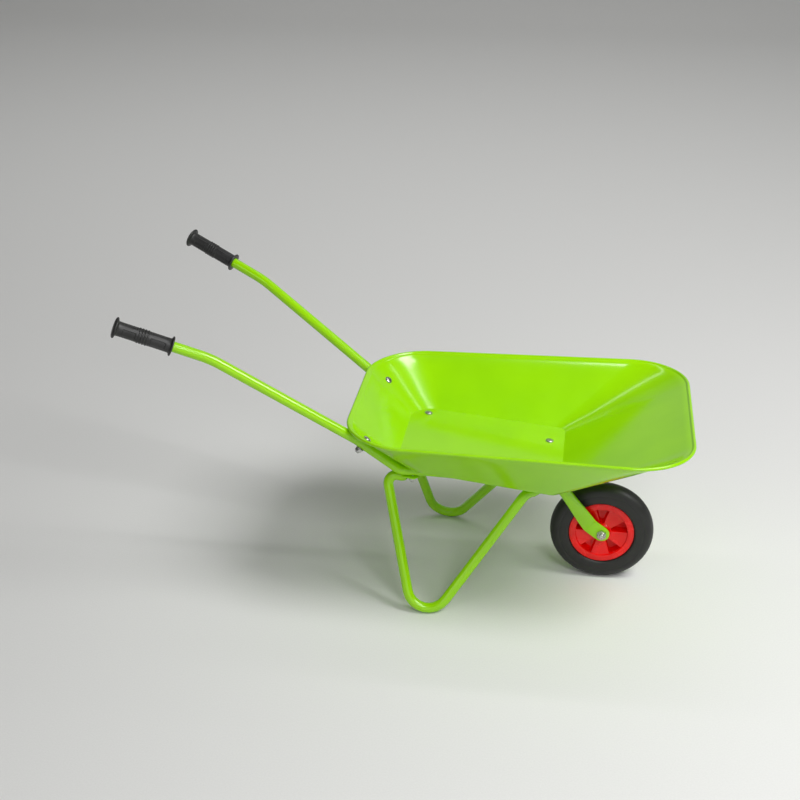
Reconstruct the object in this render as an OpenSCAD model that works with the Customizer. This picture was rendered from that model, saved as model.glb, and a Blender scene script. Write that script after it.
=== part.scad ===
// Small steel wheelbarrow: pressed tray, two bent handle tubes, two V legs and one plastic wheel.
// +X points forwards over the wheel, +Y to the left handle and +Z up. The origin is on the
// ground, at the middle of the overall length and width.

/* [Overall] */
// Length from the ends of the grips to the front of the rim
overall_l = 800; // [760:1:980]
// Width over the flanges of the grips
overall_w = 420; // [370:1:510]
// Height to the top of the grips
overall_h = 460; // [400:1:470]

/* [Tray] */
// Thickness of the pressed sheet
sheet_t = 1; // [0.6:0.1:1.6]
// Length of the rim between the middles of its rolled edge
rim_l = 489.5; // [440:0.5:600]
// Width of the rim at the handles
rim_w_rear = 346; // [300:1:400]
// Width of the rim over the wheel
rim_w_front = 383; // [330:1:450]
// Height of the rim above the ground
rim_z = 278.5; // [265:0.5:300]
// Radius of the rim's corners
rim_corner_r = 88; // [70:1:100]
// Radius of the rolled edge
bead_r = 2.5; // [1.8:0.1:3.2]
// Length of the floor
floor_l = 238.5; // [200:0.5:270]
// Width of the floor at the rear
floor_w_rear = 216; // [210:1:220]
// Width of the floor at the front
floor_w_front = 226; // [222:1:232]
// Radius of the floor's rear corners
floor_rear_r = 44; // [35:1:56]
// Radius of the floor's front corners
floor_front_r = 16; // [12:1:24]
// Depth of the tray at the rear of the floor
depth_rear = 64.5; // [50:0.5:75]
// Depth of the tray at the front of the floor
depth_front = 90; // [78:0.5:104]
// How far the rear wall leans back over its height
rear_wall_run = 69.5; // [60:0.5:84]

/* [Handles and fork] */
// Outer diameter of the frame tube
tube_d = 15; // [12:0.5:16]
// Wall of the frame tube
tube_wall = 1.2; // [0.8:0.1:1.6]
// Slope of the gripped end of a handle
grip_pitch = 22.8; // [18:0.1:27]
// Angle at which the gripped end turns inwards
grip_toe = 15.3; // [12:0.1:19]
// Straight length from the end of the grip to the bend
grip_straight = 140; // [116:1:168]
// Radius of the bend in front of the grip
handle_bend_r = 160; // [100:1:200]
// Distance between the rear floor bolts
rear_bolt_w = 178.6; // [150:0.2:190]
// Distance between the front floor bolts
front_bolt_w = 118; // [98:0.5:142]
// Distance of the wall bolts below the bend where the tube meets the wall
wall_bolt_down = 12; // [9:0.5:16]
// Set-back of the rear floor bolts from the floor's rear edge
rear_bolt_in = 25.5; // [22:0.5:31]
// Set-back of the front floor bolts from the floor's front edge
front_bolt_in = 22.5; // [18:0.5:27]
// Distance from the front floor bolts to the fork bend
fork_bend_run = 18; // [16:0.5:22]
// Radius of the fork bend
fork_bend_r = 26; // [22:1:28]
// Thickness of a flattened tube end
tab_t = 2.8; // [2.4:0.1:3.4]
// Width of the flattened fork end
fork_tab_w = 24; // [20:0.5:26]
// Width of the flattened leg ends
leg_tab_w = 20; // [17:0.5:23]

/* [Legs] */
// Width over the middles of the legs at their lowest point
foot_w = 274; // [230:1:328]
// Forward place of the leg's lower bend, from the rear of the rim
foot_x = 109.8; // [92:0.2:131]
// Radius of the leg's lower bend
foot_bend_r = 31; // [26:0.5:37]
// Forward place of the leg's rear shoulder, from the rear of the rim
leg_rear_x = 52.5; // [48:0.5:56]
// Forward place of the leg's front shoulder, from the rear of the rim
leg_front_x = 259.5; // [240:0.5:262]
// Radius of the rear shoulder
leg_rear_bend_r = 12.5; // [11:0.5:14]
// Radius of the front shoulder
leg_front_bend_r = 22; // [18:0.5:26]

/* [Wheel] */
// Diameter over the tyre
wheel_d = 156; // [140:1:174]
// Width of the tyre
tyre_w = 31; // [26:0.5:37]
// Radius of the tyre's shoulders
shoulder_r = 9; // [7:0.5:11]
// Distance of the axle behind the front of the rim
axle_back = 117.4; // [100:0.2:124]
// Outer diameter of the plastic rim
wheel_rim_d = 98; // [84:0.5:110]
// Height of the rim's outer ring
ring_h = 10; // [8:0.5:12]
// Width of the plastic rim
wheel_rim_w = 25.4; // [22:0.2:28]
// Diameter of the hub
hub_d = 27; // [22:0.5:32]
// Thickness of the wheel's panels and walls
panel_t = 2; // [1.6:0.1:2.4]

/* [Grips] */
// Length of a grip
grip_l = 84; // [70:1:100]
// Diameter of a grip's body
grip_d = 20.5; // [18.5:0.5:24]
// Diameter of the grip's flanges
grip_flange_d = 30; // [26:0.5:36]
// Thickness of the flange nearest the tube
grip_flange_t = 2.6; // [2:0.1:4]
// Thickness of the closed end of a grip
grip_cap_t = 5; // [4:0.5:6]

/* [Fasteners] */
// Diameter of the tray bolts
bolt_d = 6; // [5:0.5:7]
// Diameter of the tray bolts' heads
bolt_head_d = 12; // [10:0.5:14]
// Height of the tray bolts' heads
bolt_head_h = 3.2; // [2.6:0.1:4]
// Diameter of the axle bolt
axle_d = 8; // [7:0.5:9]
// Wall of the sleeve on the axle bolt
sleeve_wall = 1.5; // [1.2:0.1:1.8]

/* [Clearances] */
// Gap between a bolt and the hole it passes through, all round
hole_gap = 0.3; // [0.2:0.05:0.5]
// Gap between the wheel's hub and its sleeve, all round
running_gap = 0.08; // [0.04:0.01:0.1]
// Gap between pieces that lie against each other
seat_gap = 0.2; // [0.1:0.05:0.4]
// Gap between the wheel and what stands beside it
side_gap = 0.5; // [0.4:0.1:1]

/* [Hidden] */
$fn = 48;
lime = "#8fc410";
zinc = "#b8b8b4";
red = "#e60a08";
black = "#2c2c2a";
tube_r = tube_d / 2;
seam = 0.02;
inset = 0.5;

// The rim's outline and the floor's outline, each tapering in width towards the rear
rim_front_x = overall_l / 2 - bead_r;
rim_rear_x = rim_front_x - rim_l;
front_wall_run = rim_l - rear_wall_run - floor_l;
floor_rear_x = rim_rear_x + rear_wall_run;
floor_front_x = floor_rear_x + floor_l;
floor_tilt = atan2(depth_front - depth_rear, floor_l);
function floor_z(x) = rim_z - depth_rear - (x - floor_rear_x) * tan(floor_tilt);

// A level of the tray: 0 is the rim and 1 is the floor
function rear_x(level) = rim_rear_x + rear_wall_run * level;
function front_x(level) = rim_front_x - front_wall_run * level;
function rear_half_w(level) = (rim_w_rear + (floor_w_rear - rim_w_rear) * level) / 2;
function front_half_w(level) = (rim_w_front + (floor_w_front - rim_w_front) * level) / 2;
function side_slope(level) = (front_half_w(level) - rear_half_w(level)) / (front_x(level) - rear_x(level));
function rear_r(level) = rim_corner_r + (floor_rear_r - rim_corner_r) * level;
function front_r(level) = rim_corner_r + (floor_front_r - rim_corner_r) * level;
function half_w_at(level, x) = rear_half_w(level) + side_slope(level) * (x - rear_x(level));

// Where the outside of the rear wall stands at a level, for a place y to the left of the middle
function wall_x(level, y) = let (r = rear_r(level), middle = half_w_at(level, rear_x(level) + r) - r)
    rear_x(level) + r - sqrt(max(0, r * r - pow(max(0, y - middle), 2)));
function wall_point(level, y) = [wall_x(level, y), y, rim_z - depth_rear * level];
function unit(v) = v / norm(v);

// The wheel and the bolts that hold the tray
axle = [rim_front_x - axle_back, 0, wheel_d / 2];
rear_bolt = [floor_rear_x + rear_bolt_in, rear_bolt_w / 2];
front_bolt = [floor_front_x - front_bolt_in, front_bolt_w / 2];
washer_t = bolt_d / 5;
nut_h = bolt_d * 5 / 6;
head_seat = 0.3;
thread_gap = 0.05;

// The handle's gripped end points forwards, inwards and down
grip_axis = [cos(grip_pitch) * cos(grip_toe), -cos(grip_pitch) * sin(grip_toe), -sin(grip_pitch)];
grip_flange_r = grip_flange_d / 2;
grip_edge = 1.5;
grip_end = [
    -overall_l / 2 + grip_flange_r * sqrt(1 - pow(grip_axis.x, 2)),
    overall_w / 2 - grip_flange_r * sqrt(1 - pow(grip_axis.y, 2)),
    overall_h - grip_flange_r * sqrt(1 - pow(grip_axis.z, 2))
] - grip_axis * grip_edge;
handle_bend = grip_end + grip_axis * grip_straight;

// From the bend to just past the rear floor bolt the tube keeps one straight line in plan
plan_slope = (rear_bolt.y - handle_bend.y) / (rear_bolt.x - handle_bend.x);
function plan_y(x) = handle_bend.y + plan_slope * (x - handle_bend.x);
function wall_hit(level, x, tries) = tries == 0 ? x : wall_hit(level, wall_x(level, plan_y(x)), tries - 1);

// The tube passes under the rolled edge and then follows the outside of the rear wall
rim_hit_x = wall_hit(0, rim_rear_x, 5);
wall_level = 0.42;
wall_y = plan_y(wall_hit(wall_level, rear_x(wall_level), 5));
wall_mid = wall_point(wall_level, wall_y);
wall_step = 0.01;
wall_normal = unit(cross(
    wall_point(wall_level + wall_step, wall_y) - wall_point(wall_level - wall_step, wall_y),
    wall_point(wall_level, wall_y + wall_step) - wall_point(wall_level, wall_y - wall_step)));
wall_fall = -(wall_normal.x + wall_normal.y * plan_slope) / wall_normal.z;
wall_tube_z = wall_mid.z - (tube_r + seat_gap) / wall_normal.z;
rim_drop = tube_r + bead_r + seat_gap;
rim_dx = rim_hit_x - handle_bend.x;
rim_dz = rim_z - handle_bend.z;
handle_angle = atan2(rim_dz, rim_dx) - asin(rim_drop / norm([rim_dx, rim_dz]));
wall_bend_x = (handle_bend.z - wall_tube_z + wall_fall * wall_mid.x - tan(handle_angle) * handle_bend.x)
    / (wall_fall - tan(handle_angle));
wall_bend = [wall_bend_x, plan_y(wall_bend_x), handle_bend.z + tan(handle_angle) * (wall_bend_x - handle_bend.x)];

// Under the floor the tube lies against the sheet
under_drop = (tube_r + seat_gap) / cos(floor_tilt);
function under_floor(p) = [p.x, p.y, floor_z(p.x) - under_drop];
floor_bend_x = (wall_bend.z - floor_z(0) + under_drop - wall_fall * wall_bend.x) / (-tan(floor_tilt) - wall_fall);
floor_bend = under_floor([floor_bend_x, plan_y(floor_bend_x)]);
tube_kink_x = rear_bolt.x + 16;
bolt_slope = (front_bolt.y - plan_y(tube_kink_x)) / (front_bolt.x - tube_kink_x);
fork_bend = under_floor([front_bolt.x + fork_bend_run, front_bolt.y + bolt_slope * fork_bend_run]);

// Across the wheel: hub, washer, flattened fork end, then the nut or the bolt's head
hub_half_w = wheel_rim_w / 2;
axle_washer_t = 1.2;
fork_tab_y = hub_half_w + side_gap + axle_washer_t;
fork_tab_r = fork_tab_w / 2;
fork_heel = [axle.x - 18, fork_tab_y + tab_t / 2, axle.z + 13];
fork_dir = unit(fork_heel - fork_bend);
fork_flat_from = fork_bend + fork_dir * (fork_bend_r * 0.42 + 4);
sleeve_r = axle_d / 2 + 0.1 + sleeve_wall;

main_path = [grip_end + grip_axis * grip_cap_t, handle_bend, wall_bend, floor_bend,
    under_floor([tube_kink_x, plan_y(tube_kink_x)]), fork_bend, fork_flat_from];
wall_bend_r = 60;
floor_bend_r = 24;
kink_r = 60;
main_bends = [0, handle_bend_r, wall_bend_r, floor_bend_r, kink_r, fork_bend_r, 0];

// The legs: each end is flattened and bolted under the main tube
leg_level = tube_d + 2 * seat_gap;
leg_drop = (leg_level + tube_r) / cos(floor_tilt);
function under_tube(x, y) = [x, y, floor_z(x) - leg_drop];
leg_rear_shoulder = under_tube(rim_rear_x + leg_rear_x, rear_bolt.y - 8) + [0, 0, 6];
leg_front_shoulder = under_tube(rim_rear_x + leg_front_x, front_bolt.y + 12);
foot_corner_y = foot_w / 2 + 27;
function foot_corner(z) = [rim_rear_x + foot_x, foot_corner_y, z];

// Height of the lower bend's lowest point above the ground, less the tube's radius
function foot_height(v) = let (
    a = unit(leg_rear_shoulder - v), b = unit(leg_front_shoulder - v), half = acos(a * b) / 2,
    up = unit(a + b), along = unit(b - a))
    v.z + foot_bend_r * (up.z / sin(half) - norm([up.z, along.z])) - tube_r;
function settle_foot(z, tries) = tries == 0 ? z : settle_foot(z - foot_height(foot_corner(z)), tries - 1);
foot_bend = foot_corner(settle_foot(-30, 6));
leg_flat_run = 6;
leg_rear_in = under_tube(rear_bolt.x - 17, rear_bolt.y - 3);
leg_front_in = leg_front_shoulder + unit(under_tube(front_bolt.x, front_bolt.y) - leg_front_shoulder) * 16;
leg_path = [leg_rear_in, leg_rear_shoulder, foot_bend, leg_front_shoulder, leg_front_in];
leg_bends = [0, leg_rear_bend_r, foot_bend_r, leg_front_bend_r, 0];

// Bent tube: straight stretches and elbows in turn, each placed at the end of the one before.
// They stand a hair apart and a thin collar bridges each joint.
function heading(pts, i) = unit(pts[i + 1] - pts[i]);
function turn(pts, i) = acos(heading(pts, i - 1) * heading(pts, i));
function trim(pts, radii, i) = i == 0 || i == len(pts) - 1 ? 0 : radii[i] * tan(turn(pts, i) / 2);
module collar(r) translate([0, 0, -0.3]) cylinder(r = r + seam, h = 0.6);
module limb(pts, radii, r, i, x) {
    z = heading(pts, i);
    run = norm(pts[i + 1] - pts[i]) - trim(pts, radii, i) - trim(pts, radii, i + 1);
    translate([0, 0, seam / 2]) cylinder(r = r, h = run - seam);
    if (i < len(pts) - 2) {
        ahead = heading(pts, i + 1);
        side = unit(ahead - z * (z * ahead));
        a = turn(pts, i + 1);
        bend_r = radii[i + 1];
        translate([0, 0, run]) rotate([0, 0, atan2(side * cross(z, x), side * x)]) {
            collar(r);
            translate([bend_r, 0, 0]) {
                rotate([90, 0, 180]) rotate_extrude(angle = a) translate([bend_r, 0]) circle(r = r);
                rotate([0, a, 0]) translate([-bend_r, 0, 0]) {
                    collar(r);
                    limb(pts, radii, r, i + 1, side * cos(a) - z * sin(a));
                }
            }
        }
    }
}
module bent_rod(pts, radii, r) {
    d = heading(pts, 0);
    slope = acos(d.z);
    turned = atan2(d.y, d.x);
    sideways = [cos(turned) * cos(slope), sin(turned) * cos(slope), -sin(slope)];
    translate(pts[0]) rotate([0, slope, turned]) limb(pts, radii, r, 0, sideways);
}

// Where the flattening of a tube's end begins, just inside the round tube
module neck() translate([0, 0, -0.5]) cylinder(r = tube_r - inset, h = 0.5, $fn = 32);

// Places with +Z along a direction
module facing(p, d) translate(p) rotate([0, acos(d.z / norm(d)), atan2(d.y, d.x)]) children();
module on_floor(p) translate([p.x, p.y, floor_z(p.x)]) rotate([0, floor_tilt, 0]) children();
wall_run = unit([1, plan_slope, wall_fall]);
wall_bolt = wall_bend + wall_run * wall_bolt_down;
module at_wall_bolt() facing(wall_bolt, wall_normal) children();
module both_sides() {
    children();
    mirror([0, 1, 0]) children();
}

// The tray's outer body, or with a skin its hollow, between two levels
module corner_discs(level, skin, side) {
    rear_angle = atan2(depth_rear, rear_wall_run);
    front_angle = atan2(depth_front, front_wall_run);
    side_angle = atan2(depth_front, (rim_w_front - floor_w_front) / 2);
    on_base = level == 1;
    function drawn_in(angle) = on_base ? skin * tan(angle / 2) : skin / sin(angle);
    module disc(x, r, z) translate([x, side * (half_w_at(level, x) - drawn_in(side_angle) - r), z])
        rotate([0, on_base ? floor_tilt : 0, 0]) cylinder(r = r, h = 0.01);
    rise = on_base ? skin : 0;
    rear_disc_r = rear_r(level) - drawn_in(side_angle);
    rear = rear_x(level) + drawn_in(rear_angle) + rear_disc_r;
    front_disc_r = front_r(level) - drawn_in(side_angle);
    front = front_x(level) - drawn_in(front_angle) - front_disc_r;
    disc(rear, rear_disc_r, on_base ? floor_z(rear) + rise : rim_z - depth_rear * level);
    disc(front, front_disc_r, on_base ? floor_z(front) + rise : rim_z - depth_front * level);
}
module tray_body(top, skin) hull() for (side = [-1, 1]) {
    corner_discs(top, skin, side);
    corner_discs(1, skin, side);
}
rim_corners = [
    [rim_rear_x, 0, rim_z], [rim_rear_x, rim_w_rear / 2, rim_z], [rim_front_x, rim_w_front / 2, rim_z],
    [rim_front_x, -rim_w_front / 2, rim_z], [rim_rear_x, -rim_w_rear / 2, rim_z], [rim_rear_x, 0, rim_z]
];
module rolled_edge() {
    bent_rod(rim_corners, [0, rim_corner_r, rim_corner_r, rim_corner_r, rim_corner_r, 0], bead_r);
    facing(rim_corners[0], [0, 1, 0]) collar(bead_r);
}
module bolt_holes(d) {
    hole_h = 70;
    both_sides() {
        for (p = [rear_bolt, front_bolt]) on_floor(p) translate([0, 0, -hole_h / 2]) cylinder(d = d, h = hole_h);
        at_wall_bolt() translate([0, 0, -hole_h / 2]) cylinder(d = d, h = hole_h);
    }
}
module tray() color(lime) difference() {
    union() {
        difference() {
            tray_body(0, 0);
            tray_body(-0.08, sheet_t);
        }
        rolled_edge();
    }
    bolt_holes(bolt_d + 2 * hole_gap);
}

// Handle, floor run and fork arm are one tube, flattened where it meets the axle
module main_tube() color(lime) difference() {
    union() {
        bent_rod(main_path, main_bends, tube_r);
        hull() {
            facing(fork_flat_from, fork_dir) neck();
            translate(fork_heel) rotate([90, 0, 0]) cylinder(r = fork_tab_r - inset, h = tab_t - inset, center = true, $fn = 32);
        }
        fork_tab();
    }
    bent_rod(main_path, main_bends, tube_r - tube_wall);
    translate([axle.x, fork_heel.y, axle.z]) rotate([90, 0, 0]) cylinder(d = axle_d + 2 * hole_gap, h = 20, center = true);
    bolt_holes(bolt_d + 2 * hole_gap);
}
module fork_tab() {
    run = norm([axle.x - fork_heel.x, axle.z - fork_heel.z]);
    translate(fork_heel) rotate([0, atan2(fork_heel.z - axle.z, axle.x - fork_heel.x), 0]) {
        translate([run, 0, 0]) rotate([90, 0, 0]) cylinder(r = fork_tab_r, h = tab_t, center = true);
        translate([run / 2, 0, 0]) cube([run, tab_t, fork_tab_w], center = true);
    }
}

// A leg is one tube in a V, with a flat at each end under the main tube
module leg_flat(p, from) {
    d = unit(from - [p.x, p.y, floor_z(p.x) - leg_drop]);
    heading_z = atan2(d.y, d.x);
    hull() {
        facing(from, -d) neck();
        leg_plate(p, from, leg_flat_run, heading_z);
    }
    on_floor(p) translate([0, 0, -leg_level - tab_t]) {
        cylinder(d = leg_tab_w, h = tab_t);
        rotate([0, 0, heading_z]) translate([0, -leg_tab_w / 2, 0])
            cube([norm(from - [p.x, p.y, floor_z(p.x) - leg_drop]) - leg_flat_run, leg_tab_w, tab_t]);
    }
}
module leg_plate(p, from, run, heading_z) on_floor(p) translate([0, 0, -leg_level - tab_t / 2]) rotate([0, 0, heading_z])
    translate([norm(from - [p.x, p.y, floor_z(p.x) - leg_drop]) - run - 0.5, 0, 0])
        cube([1, leg_tab_w - inset, tab_t - inset], center = true);
module leg() color(lime) difference() {
    union() {
        bent_rod(leg_path, leg_bends, tube_r);
        leg_flat(rear_bolt, leg_rear_in);
        leg_flat(front_bolt, leg_front_in);
    }
    bent_rod(leg_path, leg_bends, tube_r - tube_wall);
    bolt_holes(bolt_d + 2 * hole_gap);
}

// Moulded grip, pushed over the tube: cap, ribbed body and front flange
module grip() color(black) facing(grip_end, grip_axis) difference() {
    rib_t = 2;
    rib_gap = 2;
    rotate_extrude() {
        translate([0, grip_edge]) square([grip_flange_r, grip_cap_t - grip_edge]);
        polygon([[0, 0], [grip_flange_r - 2.5, 0], [grip_flange_r, grip_edge], [0, grip_edge]]);
        translate([0, grip_cap_t - 0.1]) square([grip_d / 2, grip_l - grip_cap_t]);
        translate([0, grip_l - grip_flange_t]) square([grip_flange_r - 1, grip_flange_t]);
        for (i = [0 : 3]) translate([0, grip_l / 2 + (i - 1.5) * (rib_t + rib_gap) - rib_t / 2])
            square([grip_d / 2 + 0.7, rib_t]);
    }
    translate([0, 0, grip_cap_t]) cylinder(r = tube_r + thread_gap, h = grip_l);
}

// Fasteners, each drawn about +Z with the plane under its head or over its nut at 0
module pan_bolt(l) color(zinc) {
    translate([0, 0, -l]) cylinder(d = bolt_d, h = l + 0.5);
    cylinder(d = bolt_head_d, h = bolt_head_h * 0.45);
    translate([0, 0, bolt_head_h * 0.45]) cylinder(d1 = bolt_head_d, d2 = bolt_head_d * 0.6, h = bolt_head_h * 0.55);
}
module washer(inner_d, outer_d, t) color(zinc) difference() {
    cylinder(d = outer_d, h = t);
    translate([0, 0, -1]) cylinder(d = inner_d, h = t + 2);
}
module hex_nut(d, h) color(zinc) difference() {
    cylinder(d = d * 1.9, h = h, $fn = 6);
    translate([0, 0, -1]) cylinder(d = d + 2 * thread_gap, h = h + 2);
}
wall_under = -tube_r;
floor_under = -leg_level - tab_t;
thread_past_nut = 2;
wall_bolt_l = tube_r * 2 + seat_gap + sheet_t + head_seat + washer_t + nut_h + thread_past_nut;
floor_bolt_l = leg_level + tab_t + sheet_t + head_seat + washer_t + nut_h + thread_past_nut;
module floor_bolts(p) both_sides() on_floor(p) translate([0, 0, sheet_t + head_seat]) pan_bolt(floor_bolt_l);
module floor_washers(p) both_sides() on_floor(p) translate([0, 0, floor_under - washer_t])
    washer(bolt_d + 2 * hole_gap, bolt_d * 2, washer_t);
module floor_nuts(p) both_sides() on_floor(p) translate([0, 0, floor_under - washer_t - nut_h]) hex_nut(bolt_d, nut_h);
module wall_bolts() both_sides() at_wall_bolt()
    translate([0, 0, tube_r + seat_gap + sheet_t + head_seat]) pan_bolt(wall_bolt_l);
module wall_washers() both_sides() at_wall_bolt() translate([0, 0, wall_under - washer_t])
    washer(bolt_d + 2 * hole_gap, bolt_d * 2, washer_t);
module wall_nuts() both_sides() at_wall_bolt() translate([0, 0, wall_under - washer_t - nut_h]) hex_nut(bolt_d, nut_h);

// The wheel's frame: +Z runs out to the right along the axle
module at_axle() translate(axle) rotate([90, 0, 0]) children();
fork_outer_y = fork_tab_y + tab_t;
axle_nut_h = axle_d * 0.8;
axle_head_h = axle_d * 0.65;
module axle_bolt() color(zinc) at_axle() {
    translate([0, 0, -fork_outer_y - 0.5]) cylinder(d = axle_d, h = 2 * fork_outer_y + axle_nut_h + thread_past_nut + 0.5);
    translate([0, 0, -fork_outer_y - axle_head_h]) cylinder(d = axle_d * 1.85, h = axle_head_h, $fn = 6);
}
module axle_nut() at_axle() translate([0, 0, fork_outer_y]) hex_nut(axle_d, axle_nut_h);
module axle_sleeve() color(zinc) at_axle() difference() {
    cylinder(r = sleeve_r, h = 2 * fork_tab_y, center = true);
    cylinder(r = sleeve_r - sleeve_wall, h = 3 * fork_tab_y, center = true);
}
module axle_washers() both_sides() at_axle() translate([0, 0, hub_half_w + side_gap])
    washer(2 * sleeve_r + 2 * hole_gap, hub_d - 6, axle_washer_t);

// One moulded rim: hub, outer ring with a groove for the tyre, and ten wedge panels that stand
// at the two faces in turn, joined by ten radial walls
ring_r = wheel_rim_d / 2;
ring_in_r = ring_r - ring_h;
groove_depth = 4;
flange_t = 2.2;
panels = 5;
panel_y = hub_half_w - 2.6;
module ring_section() difference() {
    translate([ring_in_r, -hub_half_w]) square([ring_h, 2 * hub_half_w]);
    translate([ring_r - groove_depth, flange_t - hub_half_w]) square([ring_h, 2 * (hub_half_w - flange_t)]);
}
module wedge(half_angle, r) polygon([[0, 0], [-r * tan(half_angle), -r], [r * tan(half_angle), -r]]);
module wedge_panel(angle) rotate([0, 0, angle]) translate([0, 0, -panel_t]) linear_extrude(panel_t)
    intersection() {
        circle(r = ring_in_r + 1);
        wedge(180 / panels / 2 + 1, ring_r * 1.4);
    }
module wheel_rim() color(red) at_axle() difference() {
    union() {
        cylinder(d = hub_d, h = 2 * hub_half_w, center = true);
        rotate_extrude() ring_section();
        for (i = [0 : panels - 1]) {
            translate([0, 0, panel_y]) wedge_panel(i * 360 / panels);
            rotate([180, 0, 0]) translate([0, 0, panel_y]) wedge_panel(i * 360 / panels);
        }
        for (i = [0 : 2 * panels - 1]) rotate([0, 0, (i + 0.5) * 180 / panels])
            translate([-panel_t / 2, hub_d / 2 - 1, panel_t / 2 - panel_y])
                cube([panel_t, ring_in_r - hub_d / 2 + 2, 2 * panel_y - panel_t]);
    }
    cylinder(r = sleeve_r + running_gap, h = 3 * hub_half_w, center = true);
}

// Solid tyre, seated in the rim's groove
module tyre_section() {
    tyre_r = wheel_d / 2;
    half_w = tyre_w / 2;
    seat_r = ring_r - groove_depth + seat_gap;
    bead_half_w = hub_half_w - flange_t - seat_gap;
    side_r = ring_r + seat_gap;
    translate([seat_r, -bead_half_w]) square([side_r - seat_r + 1, 2 * bead_half_w]);
    translate([side_r, -half_w]) square([tyre_r - shoulder_r - side_r, tyre_w]);
    translate([side_r, shoulder_r - half_w]) square([tyre_r - side_r, tyre_w - 2 * shoulder_r]);
    for (side = [-1, 1]) translate([tyre_r - shoulder_r, side * (half_w - shoulder_r)]) circle(r = shoulder_r);
}
module tyre() color(black) at_axle() rotate_extrude($fn = 96) tyre_section();

tray();
main_tube();  // main_tube_left
mirror([0, 1, 0]) main_tube();  // main_tube_right
leg();  // leg_left
mirror([0, 1, 0]) leg();  // leg_right
grip();  // grip_left
mirror([0, 1, 0]) grip();  // grip_right
wall_bolts();
wall_washers();
wall_nuts();
floor_bolts(rear_bolt);  // rear_floor_bolts
floor_washers(rear_bolt);  // rear_floor_washers
floor_nuts(rear_bolt);  // rear_floor_nuts
floor_bolts(front_bolt);  // front_floor_bolts
floor_washers(front_bolt);  // front_floor_washers
floor_nuts(front_bolt);  // front_floor_nuts
axle_bolt();
axle_nut();
axle_sleeve();
axle_washers();
wheel_rim();
tyre();
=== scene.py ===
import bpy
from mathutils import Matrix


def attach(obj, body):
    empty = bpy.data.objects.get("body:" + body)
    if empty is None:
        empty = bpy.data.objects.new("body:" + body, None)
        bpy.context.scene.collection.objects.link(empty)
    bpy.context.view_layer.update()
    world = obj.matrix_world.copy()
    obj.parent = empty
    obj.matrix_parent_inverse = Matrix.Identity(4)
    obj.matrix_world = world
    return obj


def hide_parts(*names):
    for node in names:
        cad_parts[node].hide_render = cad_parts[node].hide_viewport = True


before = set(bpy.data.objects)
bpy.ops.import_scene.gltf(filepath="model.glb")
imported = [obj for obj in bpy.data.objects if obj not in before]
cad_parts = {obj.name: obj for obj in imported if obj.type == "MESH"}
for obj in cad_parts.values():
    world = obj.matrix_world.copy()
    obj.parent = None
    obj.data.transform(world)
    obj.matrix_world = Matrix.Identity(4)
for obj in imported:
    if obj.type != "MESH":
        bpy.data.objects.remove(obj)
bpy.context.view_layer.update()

import math
import bpy
import bmesh
from mathutils import Matrix, Vector

mm = 0.001
barrow = "barrow"
wheelBody = "wheel"
xAxis = Vector((1, 0, 0))
yAxis = Vector((0, 1, 0))
zAxis = Vector((0, 0, 1))
mirrorY = Matrix.Scale(-1, 4, yAxis)


def linear(hexColour):
    # an sRGB hex value as a linear RGBA
    values = [int(hexColour[i:i + 2], 16) / 255 for i in (1, 3, 5)]
    return [v / 12.92 if v <= 0.04045 else ((v + 0.055) / 1.055) ** 2.4 for v in values] + [1]


def addNode(tree, kind, settings=None, links=None):
    # one node, with its own settings, its socket values by name, and links into its sockets
    node = tree.nodes.new(kind)
    for key, value in (settings or {}).items():
        if key in node.inputs:
            node.inputs[key].default_value = value
        else:
            setattr(node, key, value)
    for key, socket in (links or {}).items():
        tree.links.new(socket, node.inputs[key])
    return node


def newMaterial(name, shaderValues):
    # a principled material, the object coordinates for its patterns, and its tree
    material = bpy.data.materials.new(name)
    material.use_nodes = True
    tree = material.node_tree
    shader = tree.nodes["Principled BSDF"]
    for key, value in shaderValues.items():
        shader.inputs[key].default_value = value
    place = addNode(tree, "ShaderNodeTexCoord").outputs["Object"]
    return material, tree, shader, place


def ramp(tree, source, stops):
    # a colour ramp through (position, colour) stops
    node = addNode(tree, "ShaderNodeValToRGB", links={"Fac": source})
    elements = node.color_ramp.elements
    while len(elements) < len(stops):
        elements.new(0.5)
    for element, (position, colour) in zip(elements, stops):
        element.position = position
        element.color = colour
    return node.outputs["Color"]


def grey(value):
    return [value, value, value, 1]


def perMetre(sizeMm):
    # pattern scale for a feature of this size
    return 1000 / sizeMm


enamelSizes = {"base": "#99DA00", "deep": "#93D400", "orangePeel": 2.2, "cloud": 90, "roughLow": 0.15,
               "roughHigh": 0.18}


def makeLimeEnamel():
    # stoved powder enamel on steel: saturated lime, glossy, with a faint orange peel
    s = enamelSizes
    material, tree, shader, place = newMaterial("stovedLimeEnamel",
                                                {"IOR": 1.48, "Coat Weight": 0.1, "Coat Roughness": 0.08})
    cloud = addNode(tree, "ShaderNodeTexNoise", {"Scale": perMetre(s["cloud"]), "Detail": 2.0},
                    {"Vector": place})
    tree.links.new(ramp(tree, cloud.outputs["Fac"], [(0.35, linear(s["deep"])), (0.65, linear(s["base"]))]),
                   shader.inputs["Base Color"])
    spread = addNode(tree, "ShaderNodeTexNoise", {"Scale": perMetre(s["cloud"] / 3), "Detail": 3.0},
                     {"Vector": place})
    tree.links.new(ramp(tree, spread.outputs["Fac"],
                        [(0.3, grey(s["roughLow"])), (0.7, grey(s["roughHigh"]))]),
                   shader.inputs["Roughness"])
    peel = addNode(tree, "ShaderNodeTexNoise", {"Scale": perMetre(s["orangePeel"]), "Detail": 1.0},
                   {"Vector": place})
    bump = addNode(tree, "ShaderNodeBump", {"Strength": 0.02, "Distance": 0.0002},
                   {"Height": peel.outputs["Fac"]})
    tree.links.new(bump.outputs["Normal"], shader.inputs["Normal"])
    return material


zincSizes = {"light": "#C9C9C6", "dark": "#A9AAA8", "spangle": 1.6, "scratch": 0.35}


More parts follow.
